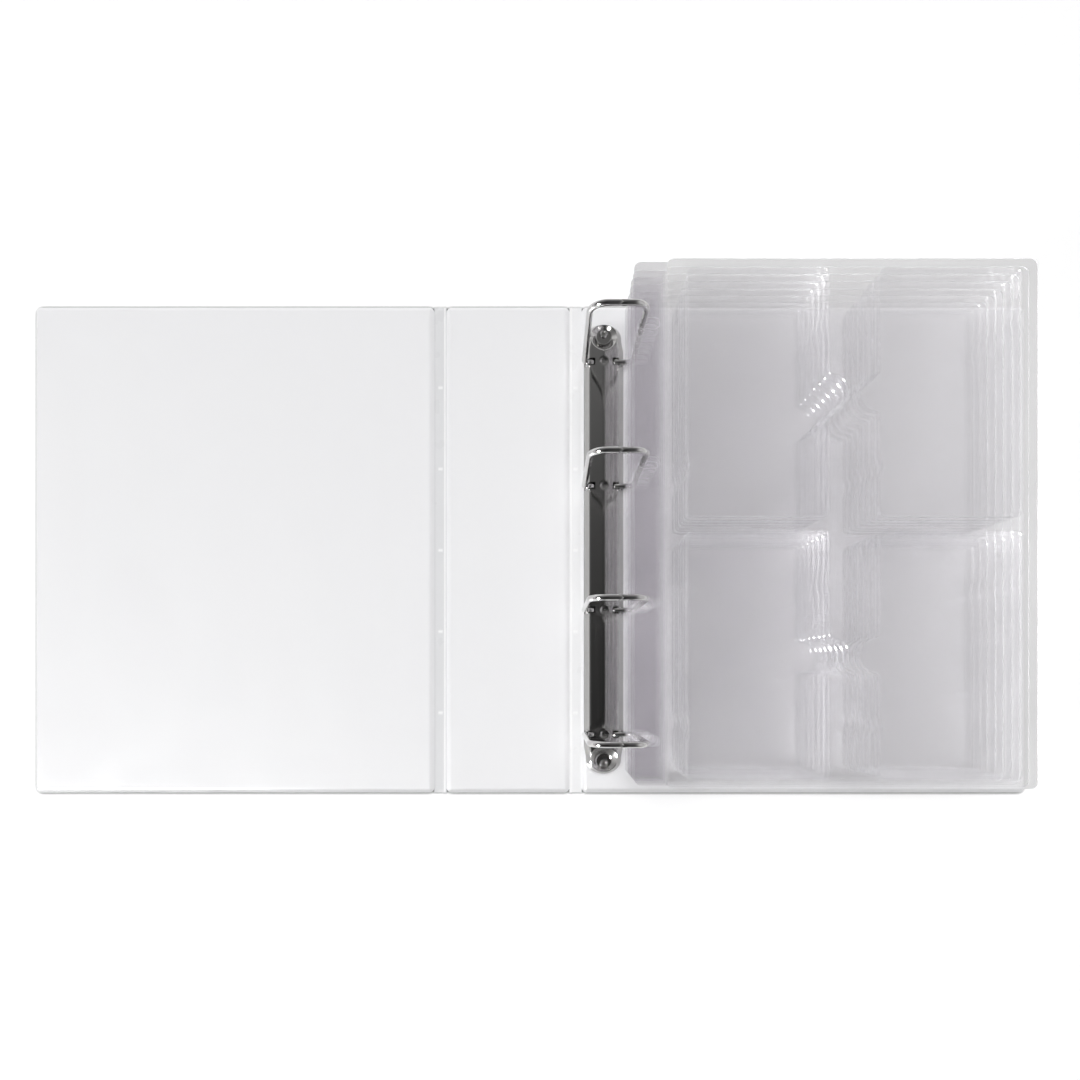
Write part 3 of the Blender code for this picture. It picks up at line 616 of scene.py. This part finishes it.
def wire_tube(line, lean):
    """Circles round a line in the xz plane.

    The last three lean along the bar by lean times |y|, into a wedge or a notch, and shrink to round its end.
    """
    step = np.gradient(line, axis=0)
    step /= np.linalg.norm(step, axis=1, keepdims=True)
    turn = np.linspace(0, 2 * math.pi, SIDES, endpoint=False)
    size = np.full(len(line), WIRE)
    size[0] = WIRE * 0.8
    size[-2:] = WIRE - END_ROUND * np.array([0.13, 1.0])
    out = np.cos(turn)[None, :] * size[:, None]
    x = line[:, :1] - step[:, 1:] * out
    z = line[:, 1:] + step[:, :1] * out
    y = np.sin(turn)[None, :] * size[:, None]
    x[-3:] += lean * np.abs(y[-3:])
    return np.stack((x, y, z), axis=-1)


# %% Eight wires
for side, sign in (("left", -1), ("right", 1)):
    for number, ring_y in enumerate(RING_YS, 1):
        node = side + "_half_ring_" + str(number)
        box_low, box_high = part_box(node)
        leg = (PLATE_X - box_low.x if sign < 0 else box_high.x - PLATE_X) - WIRE
        meeting = sign * WEDGE_X + RING_GAP / 2
        line = wire_line(leg, box_low.z + WIRE, box_high.z - WIRE, *BENDS[side], meeting)
        rings = wire_tube(line, -sign * WEDGE_LEAN)
        middle = rings[-1].copy()
        middle[:, 0], middle[:, 1] = meeting, 0.0
        points = np.vstack((rings.reshape(-1, 3), middle)) * (sign, 1, 1) + (PLATE_X, ring_y, 0)
        faces = [list(face) for face in grid_faces(len(line) + 1, SIDES, True)] + [list(range(SIDES))]
        wire = new_piece(side + "_ring_wire_" + str(number), points, faces, [WIRE_NICKEL], weld=4e-6)
        shade(face_outwards(wire), 45)
        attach(wire, side + "_rings")
        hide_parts(node)

# %% [markdown]
# ## Clear pages
# A page is one thermoformed sheet: a flat flange, four pockets pressed down from it, and a strip with ring slots beyond
# a pressed crease. A displaced grid can't follow the pocket walls, so each pocket is a section carried round its
# outline: flat rim, rounded shoulder, drafted wall, rounded foot, floor. The flange between the outlines is filled by
# a Delaunay triangulation, and everything is welded into one sheet before it gets its wall.

# %% Pocket outlines
POCKET = (83.0 * MM, 144.8 * MM)
POCKET_CORNER = 4.0 * MM
POCKET_DEPTH = 6.95 * MM
THUMB_RADIUS = 11.5 * MM
BUMP_HALF, BUMP_REACH, BUMP_FROM_END = 6.6 * MM, 1.6 * MM, 30.4 * MM
FINE = 0.2 * MM
SOFTEN = 0.9 * MM


def arc_points(x, y, radius, start, end, steps=24):
    """Points on a circle from one angle in degrees to another."""
    turn = np.radians(np.linspace(start, end, steps))
    return np.column_stack((x + radius * np.cos(turn), y + radius * np.sin(turn)))


def bump_points(sign):
    """A low ridge into the pocket: a raised cosine of its reach along its length."""
    along = np.linspace(-BUMP_HALF, BUMP_HALF, 30)
    return np.column_stack((-sign * BUMP_REACH / 2 * (1 + np.cos(math.pi * along / BUMP_HALF)), sign * along))


def resample(loop, spacing):
    """Points at even steps along a closed line."""
    closed = np.vstack((loop, loop[:1]))
    length = np.concatenate(([0], np.cumsum(np.linalg.norm(np.diff(closed, axis=0), axis=1))))
    at = np.linspace(0, length[-1], int(length[-1] / spacing), endpoint=False)
    return np.column_stack((np.interp(at, length, closed[:, 0]), np.interp(at, length, closed[:, 1])))


def soften(loop, spread_length):
    """Round a closed line of even steps by a bell-shaped average, done on its Fourier terms."""
    wave = np.fft.fftfreq(len(loop), FINE)
    bell = np.exp(-2 * (math.pi * wave * spread_length) ** 2)[:, None]
    return np.fft.ifft(np.fft.fft(loop, axis=0) * bell, axis=0).real


def pocket_loop(left, low, thumb):
    """A pocket's mouth seen from above, run anticlockwise, with its thumb recess and two holding bumps."""
    right, high, r = left + POCKET[0], low + POCKET[1], POCKET_CORNER
    middle = (low + high) / 2
    up = [bump_points(1) + (right, high - BUMP_FROM_END)]
    down = [bump_points(-1) + (left, low + BUMP_FROM_END)]
    if thumb > 0:
        up.insert(0, arc_points(right, middle, THUMB_RADIUS, -90, 90, 60))
    else:
        down.insert(0, arc_points(left, middle, THUMB_RADIUS, 90, 270, 60))
    corners = [arc_points(x, y, r, start, start + 90) for x, y, start in (
        (left + r, low + r, 180), (right - r, low + r, 270), (right - r, high - r, 0), (left + r, high - r, 90))]
    return np.vstack((corners[0], corners[1], *up, corners[2], corners[3], *down))


def spaced_by_bend(loop, step, degrees):
    """Points so close that neither the step nor the turn between neighbours is large, and their inward normals.

    The cost of a stretch is its length over the step plus its turn over the degrees, and the points lie at even costs.
    """
    ahead, behind = np.roll(loop, -1, axis=0), np.roll(loop, 1, axis=0)
    run = (ahead - behind) / np.linalg.norm(ahead - behind, axis=1, keepdims=True)
    heading = np.unwrap(np.arctan2(run[:, 1], run[:, 0]))
    turn = np.abs(np.diff(np.append(heading, heading[0] + 2 * math.pi)))
    cost = np.concatenate(([0], np.cumsum(FINE / step + turn / math.radians(degrees))))
    at = np.linspace(0, cost[-1], int(math.ceil(cost[-1])), endpoint=False)
    pick = np.unique(np.searchsorted(cost, at, side="right") - 1)
    inward = np.column_stack((-run[:, 1], run[:, 0]))
    return loop[pick], inward[pick]


# %% Pocket walls
SHOULDER, FOOT = 1.3 * MM, 1.2 * MM
DRAFT = math.radians(4.0)
RIM_BAND, FLOOR_BAND = 0.8 * MM, 0.5 * MM
WALL_STEP, WALL_TURN = 9 * MM, 9.0


def pocket_section():
    """Distance inwards and height of the wall's section: rim band, shoulder arc, drafted wall, foot arc, floor band."""
    full = math.pi / 2 - DRAFT
    top = np.linspace(0, full, 7)
    shoulder = np.column_stack((SHOULDER * np.sin(top), SHOULDER * (np.cos(top) - 1)))
    drop = POCKET_DEPTH - (SHOULDER + FOOT) * (1 - math.sin(DRAFT))
    reach = (SHOULDER + FOOT) * math.cos(DRAFT) + drop * math.tan(DRAFT)
    low = np.linspace(full, 0, 7)
    foot = np.column_stack((reach - FOOT * np.sin(low), FOOT * (1 - np.cos(low)) - POCKET_DEPTH))
    return np.vstack(([[-RIM_BAND, 0]], shoulder, foot, [[reach + FLOOR_BAND, -POCKET_DEPTH]]))


def pocket_walls(left, low, thumb):
    """The section carried round the pocket's outline, as rows from the rim to the floor."""
    loop = soften(resample(pocket_loop(left, low, thumb), FINE), SOFTEN)
    spots, inward = spaced_by_bend(loop, WALL_STEP, WALL_TURN)
    section = pocket_section()
    flat = spots[None] + inward[None] * section[:, :1, None]
    return np.concatenate((flat, np.broadcast_to(section[:, 1][:, None, None], (*flat.shape[:2], 1))), axis=-1)


# %% [markdown]
# ### Flange
# The flange is what is left of the sheet between its outline, the ring slots and the pocket rims. Lines on both sides
# of the crease go into the triangulation too, so the sheet has points to bend there.

# %% Flange
tray_low, tray_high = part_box("page_tray_1")
strip_low, strip_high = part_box("binding_strip_1")
SHEET = 0.5 * MM
SHEET_CORNER = 4.0 * MM
LEFT_MARGIN, CENTRE_WIDTH = 11.0 * MM, 27.8 * MM
END_MARGIN, ROW_GAP = 4.3 * MM, 6.4 * MM
SLOT_LEFT, SLOT_RIGHT, SLOT_WIDE = 15.9 * MM, 28.412 * MM, 6.5 * MM
CREASE_LINES = np.array([-1.5, -1.0, -0.6, -0.3, 0.0, 0.3, 0.6, 1.0, 1.5]) * MM
CREASE_DEPTH, CREASE_WIDTH, CREASE_REACH = 0.12 * MM, 0.45 * MM, 1.5 * MM


def sheet_outline():
    """The strip's rounded end, the small step at the crease and the tray's rounded corners, anticlockwise."""
    r, left, right = SHEET_CORNER, strip_low.x, tray_high.x
    low, high, strip_y = tray_low.y, tray_high.y, strip_high.y
    step = math.degrees(math.asin((strip_low.y - low - r) / r))
    corner = tray_low.x + r
    return np.vstack((
        arc_points(left + r, strip_low.y + r, r, 180, 270),
        arc_points(corner, low + r, r, 180 - step, 270, 12),
        arc_points(right - r, low + r, r, 270, 360),
        arc_points(right - r, high - r, r, 0, 90),
        arc_points(corner, high - r, r, 90, 180 + step, 12),
        arc_points(left + r, strip_y - r, r, 90, 180),
    ))


def ring_slot(y):
    """A long slot with round ends."""
    r = SLOT_WIDE / 2
    return np.vstack((arc_points(PLATE_X + SLOT_RIGHT - r, y, r, -90, 90, 14),
                      arc_points(PLATE_X + SLOT_LEFT + r, y, r, 90, 270, 14)))


def inside(points, loop):
    """Even-odd test of points in a closed line, all pairs at once."""
    x, y = points[:, :1], points[:, 1:2]
    first, second = loop, np.roll(loop, -1, axis=0)
    spans = (first[:, 1] > y) != (second[:, 1] > y)
    rise = np.where(second[:, 1] == first[:, 1], 1e-12, second[:, 1] - first[:, 1])
    crossing = first[:, 0] + (y - first[:, 1]) / rise * (second[:, 0] - first[:, 0])
    return (spans & (x < crossing)).sum(axis=1) % 2 == 1


def flange(outline, holes):
    """Triangles of the sheet inside its outline and outside its holes, pressed down a little along the crease."""
    loops = [outline, *holes]
    columns = [np.array([(CREASE_X + d, tray_low.y - MM), (CREASE_X + d, tray_high.y + MM)]) for d in CREASE_LINES]
    sizes = [len(loop) for loop in loops]
    starts = np.concatenate(([0], np.cumsum(sizes)))
    edges = [(int(s + i), int(s + (i + 1) % n)) for s, n in zip(starts, sizes) for i in range(n)]
    edges += [(int(starts[-1] + 2 * i), int(starts[-1] + 2 * i + 1)) for i in range(len(columns))]
    spots = np.vstack((*loops, *columns)) / MM
    made = delaunay_2d_cdt([Vector(spot) for spot in spots.tolist()], edges, [], 0, 1e-6)
    flat = np.array([tuple(v) for v in made[0]]) * MM
    triangles = np.array(made[2])
    centre = flat[triangles].mean(axis=1)
    keep = inside(centre, outline)
    for hole in holes:
        keep &= ~inside(centre, hole)
    pressed = -CREASE_DEPTH * np.exp(-(((flat[:, 0] - CREASE_X) / CREASE_WIDTH) ** 2))
    return np.column_stack((flat, pressed)), triangles[keep]


# %% One page's sheet
pocket_x = (tray_low.x + LEFT_MARGIN, tray_low.x + LEFT_MARGIN + POCKET[0] + CENTRE_WIDTH)
pocket_y = (tray_low.y + END_MARGIN, tray_low.y + END_MARGIN + POCKET[1] + ROW_GAP)
walls = [pocket_walls(x, y, thumb) for x, thumb in zip(pocket_x, (1, -1)) for y in pocket_y]
page_points, page_faces = flange(sheet_outline(), [ring_slot(y) for y in RING_YS] + [w[0, :, :2] for w in walls])
page_points, page_faces = [page_points], [list(face) for face in page_faces]
for wall in walls:
    base = sum(map(len, page_points))
    page_points.append(wall.reshape(-1, 3))
    page_faces += [list(face) for face in grid_faces(len(wall), wall.shape[1], True) + base]
    page_faces.append(list(base + (len(wall) - 1) * wall.shape[1] + np.arange(wall.shape[1])))
page_points = np.vstack(page_points)
print("page sheet:", len(page_points), "points", len(page_faces), "faces")

# %% Whitening of the stretched sheet
STRETCH = np.array([(-6.95, 0.002), (-6.75, 0.035), (-6.0, 0.03), (-5.6, 0.015), (-1.4, 0.015), (-0.9, 0.06),
                    (-0.25, 0.09), (-0.04, 0.03), (0.0, 0.002)])
CREASE_HAZE, HAZE_INNER, HAZE_OUTER = 0.15, 0.2 * MM, 0.7 * MM
STRIP_FROM_CREASE = 0.3 * MM
FACE_SLOT, STRIP_SLOT, WALL_SLOT = 0, 2, 4
PAGE_FINISHES = [CLEAR, CUT_EDGE, BINDING, CUT_EDGE, WALL_SHADED, CUT_EDGE]


def whiten(piece, level):
    """Haze by depth below the flange, with a white line along the crease.

    Strip and wall faces take their own slots, each followed by the slot of its cut edge.
    """
    place = np.empty(3 * len(piece.data.vertices))
    piece.data.vertices.foreach_get("co", place)
    x, z = place[0::3], place[2::3]
    haze = np.interp((z - level) / MM, STRETCH[:, 0], STRETCH[:, 1])
    haze = np.maximum(haze, CREASE_HAZE * (1 - smooth_step(np.abs(x - CREASE_X), HAZE_INNER, HAZE_OUTER)))
    piece.data.attributes.new("whitening", "FLOAT", "POINT").data.foreach_set("value", haze)
    centre = np.empty(3 * len(piece.data.polygons))
    piece.data.polygons.foreach_get("center", centre)
    depth = level - centre[2::3]
    slot = np.where((depth > SHOULDER) & (depth < POCKET_DEPTH - FOOT), WALL_SLOT, FACE_SLOT)
    slot = np.where(centre[0::3] < CREASE_X - STRIP_FROM_CREASE, STRIP_SLOT, slot)
    piece.data.polygons.foreach_set("material_index", slot.astype(np.int32))


# %% Seven pages
SLACK = np.array([(0.0, 0.0), (0.20, -0.15), (-0.18, 0.10), (0.12, 0.18), (-0.10, -0.2), (0.22, 0.08),
                  (-0.15, 0.05)]) * MM
for number, slack in enumerate(SLACK, 1):
    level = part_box("page_tray_" + str(number))[1].z
    page = new_piece("clear_page_" + str(number), page_points + (*slack, level), page_faces,
                     PAGE_FINISHES, weld=6e-6)
    whiten(page, level)
    shade(thicken(page, SHEET, 1), 60)
    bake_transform(page)
    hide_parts("binding_strip_" + str(number), "page_tray_" + str(number))

# %% [markdown]
# ## Parts that keep their solid shape
# The outer skins, the boards and the two blades under the plate are plain sheets and strips, and the frame already has
# them. Nothing would be gained by building them again, so they only take the finishes.

# %% Finishes on the kept nodes
for name, node in frame["nodes"].items():
    kept = {"_outer_skin": VINYL, "_board": GREYBOARD, "_blade": PLATE_NICKEL}
    finish = next((kept[end] for end in kept if name.endswith(end)), None)
    if finish is not None:
        node.data.materials.clear()
        node.data.materials.append(finish)
        print(name, "takes", finish.name)

# %% [markdown]
# ## Table, light and camera
# The table is pale grey. A glow for rays that come straight from the camera or from a mirror makes it white in the
# picture. A thin contact shadow is painted along the covers: ambient occlusion darkens the table's colour and glow near
# them, for rays straight from the camera only, so the clear pages show the table's plain tone. The light
# could be a few lamps in a dark room, but polished wire and clear sheet show all that is round them, so it begins with
# a studio sky: dim overhead, where a camera would stand, brightest in a band above the horizon, weaker in front, with
# two soft lamps at the right and two behind. A wide top light from a little behind gives the covers most of their
# light. A weak key lamp stands at the front left, and beside it a small bright one, seen only in reflections, puts the
# sparks on the pages.

# %% Table
TABLE_HALF, TABLE_DROP = 4.0, 0.3 * MM
TABLE_GLOW = 0.30
# Reach and strength of the painted contact shadow.
PAINTED_SHADOW_REACH = 2.5 * MM
PAINTED_SHADOW_POWER = 3.0
table_paint, tree, shader, place = new_finish("table_white")
shader.inputs["Roughness"].default_value = 0.9
shader.inputs["Specular IOR Level"].default_value = 0.0
# Painted contact shadow: ambient occlusion darkens the table's colour and glow near the album, for rays straight from
# the camera only.
contact_occlusion = tree.nodes.new("ShaderNodeAmbientOcclusion")
contact_occlusion.inputs["Distance"].default_value = PAINTED_SHADOW_REACH
rays = tree.nodes.new("ShaderNodeLightPath")
bare = value_math(tree, "LESS_THAN", rays.outputs["Transparent Depth"], 0.5)
direct = value_math(tree, "MULTIPLY", rays.outputs["Is Camera Ray"], bare)
mirrored = value_math(tree, "MAXIMUM", rays.outputs["Is Glossy Ray"], rays.outputs["Is Transmission Ray"])
seen = value_math(tree, "MAXIMUM", direct, mirrored)
shadow_paint_power = value_math(tree, "MULTIPLY", direct, PAINTED_SHADOW_POWER)
painted_shadow_share = value_math(tree, "POWER", contact_occlusion.outputs["AO"], shadow_paint_power)
glow = value_math(tree, "MULTIPLY", value_math(tree, "MULTIPLY", seen, painted_shadow_share), TABLE_GLOW)
tree.links.new(glow, shader.inputs["Emission Strength"])
paint = tree.nodes.new("ShaderNodeMix")
paint.data_type = "RGBA"
paint.inputs[6].default_value = (0.0, 0.0, 0.0, 1.0)
tree.links.new(painted_shadow_share, paint.inputs["Factor"])
tree.links.new(between(tree, noise(tree, place, 3.0), (0.79, 0.79, 0.79), (0.81, 0.81, 0.81)), paint.inputs[7])
tree.links.new(paint.outputs[2], shader.inputs["Base Color"])
shader.inputs["Emission Color"].default_value = (1.0, 1.0, 1.0, 1.0)
x, y = np.meshgrid((-TABLE_HALF, TABLE_HALF), (-TABLE_HALF, TABLE_HALF))
points = np.stack((x, y, np.full(x.shape, -TABLE_DROP)), axis=-1)
table = new_piece("table_top", points.reshape(-1, 3), grid_faces(2, 2), [table_paint])
print("table:", table.name, "half", TABLE_HALF)

# %% Studio sky
SKY_STOPS = ((0.0, 0.50), (0.07, 0.55), (0.13, 1.10), (0.20, 0.85), (0.28, 0.36), (0.60, 0.08), (1.0, 0.02))
LAMPS = (((0.72, -0.42, 0.55), 10.0, 0.75), ((0.68, 0.30, 0.67), 14.0, 0.71),
         ((0.40, 0.50, 0.77), 12.0, 0.12), ((-0.36, 0.62, 0.70), 10.0, 0.22))
FRONT_DIM = {"From Min": -0.68, "From Max": -0.10, "To Min": 0.25, "To Max": 1.0}
world = bpy.data.worlds.new("studio_sky")
bpy.context.scene.world = world
world.use_nodes = True
tree = world.node_tree
backdrop = tree.nodes["Background"]
backdrop.inputs["Color"].default_value = (1.0, 0.995, 1.0, 1.0)
aim = tree.nodes.new("ShaderNodeTexCoord").outputs["Generated"]
parts = tree.nodes.new("ShaderNodeSeparateXYZ")
tree.links.new(aim, parts.inputs[0])
ramp = tree.nodes.new("ShaderNodeValToRGB")
stops = ramp.color_ramp.elements
while len(stops) < len(SKY_STOPS):
    stops.new(0.5)
for stop, (height, level) in zip(stops, SKY_STOPS):
    stop.position = height
    stop.color = (level, level, level, 1.0)
tree.links.new(parts.outputs["Z"], ramp.inputs["Fac"])
dim = tree.nodes.new("ShaderNodeMapRange")
for socket, number in FRONT_DIM.items():
    dim.inputs[socket].default_value = number
tree.links.new(parts.outputs["Y"], dim.inputs["Value"])
sky = value_math(tree, "MULTIPLY", ramp.outputs["Color"], dim.outputs["Result"])


def sky_lamp(towards, sharpness, level):
    """A soft lamp in the sky: level times the cosine from its middle, to a power."""
    made = tree.nodes.new("ShaderNodeVectorMath")
    made.operation = "DOT_PRODUCT"
    tree.links.new(aim, made.inputs[0])
    made.inputs[1].default_value = Vector(towards).normalized()
    lit = value_math(tree, "MAXIMUM", made.outputs["Value"], 0.0)
    return value_math(tree, "MULTIPLY", value_math(tree, "POWER", lit, sharpness), level)


for lamp in LAMPS:
    sky = value_math(tree, "ADD", sky, sky_lamp(*lamp))
tree.links.new(sky, backdrop.inputs["Strength"])
world.cycles.sampling_method = "NONE"
print("sky stops:", len(stops), "lamps:", len(LAMPS))

# %% Key lamp, top light and glint lamp
LAMP_AWAY = 1.5
KEY_TOWARDS, KEY_SIZE, KEY_WATTS = (-0.66, -0.50, 0.56), 0.30, 5.0
TOP_TOWARDS, TOP_SPREAD, TOP_LEVEL = (-0.14, 0.38, 0.91), 50.0, 1.86
GLINT_TOWARDS, GLINT_SIZE, GLINT_WATTS = (-0.66, -0.62, 0.45), 0.18, 150.0


def add_lamp(name, kind, towards):
    """A lamp in a direction from the album's middle, turned to look at it."""
    lamp = bpy.data.objects.new(name, bpy.data.lights.new(name, kind))
    lamp.location = Vector(towards).normalized() * LAMP_AWAY
    lamp.rotation_mode = "QUATERNION"
    lamp.rotation_quaternion = (-lamp.location).to_track_quat("-Z", "Y")
    bpy.context.scene.collection.objects.link(lamp)
    return lamp


key = add_lamp("key_lamp", "AREA", KEY_TOWARDS)
key.data.shape, key.data.size, key.data.energy = "DISK", KEY_SIZE, KEY_WATTS
top_light = add_lamp("top_light", "SUN", TOP_TOWARDS)
top_light.data.angle, top_light.data.energy = math.radians(TOP_SPREAD), TOP_LEVEL
top_light.visible_glossy = False
glint = add_lamp("glint_lamp", "AREA", GLINT_TOWARDS)
glint.data.shape, glint.data.size, glint.data.energy = "DISK", GLINT_SIZE, GLINT_WATTS
glint.visible_diffuse = False
print("lamps:", key.name, top_light.name, glint.name)

# %% Camera
CAMERA_AT = (0.01304, -0.0835, 0.4574)
FOCAL_MM, SENSOR_MM = 23.21, 36.0
LENS_SHIFT = (-0.00926, 0.1273)
lens = bpy.data.cameras.new("camera")
lens.lens, lens.sensor_width = FOCAL_MM, SENSOR_MM
lens.shift_x, lens.shift_y = LENS_SHIFT
lens.clip_start, lens.clip_end = 0.01, 50.0
camera = bpy.data.objects.new("camera", lens)
camera.location = CAMERA_AT
bpy.context.scene.collection.objects.link(camera)
bpy.context.scene.camera = camera
print("camera:", FOCAL_MM, "mm at", CAMERA_AT)

# %% [markdown]
# ## Finish
# Fourteen clear faces and the mirrors between them need more steps than Blender's default before a ray is cut off,
# and the depths of the other bounces are set here too, so that the picture doesn't hang on defaults.

# %% View settings and bounce depths
bpy.context.scene.view_settings.view_transform = "Standard"
bpy.context.scene.cycles.transparent_max_bounces = 96
bpy.context.scene.cycles.glossy_bounces = 6
bpy.context.scene.cycles.diffuse_bounces = 3
bpy.context.scene.cycles.max_bounces = 8
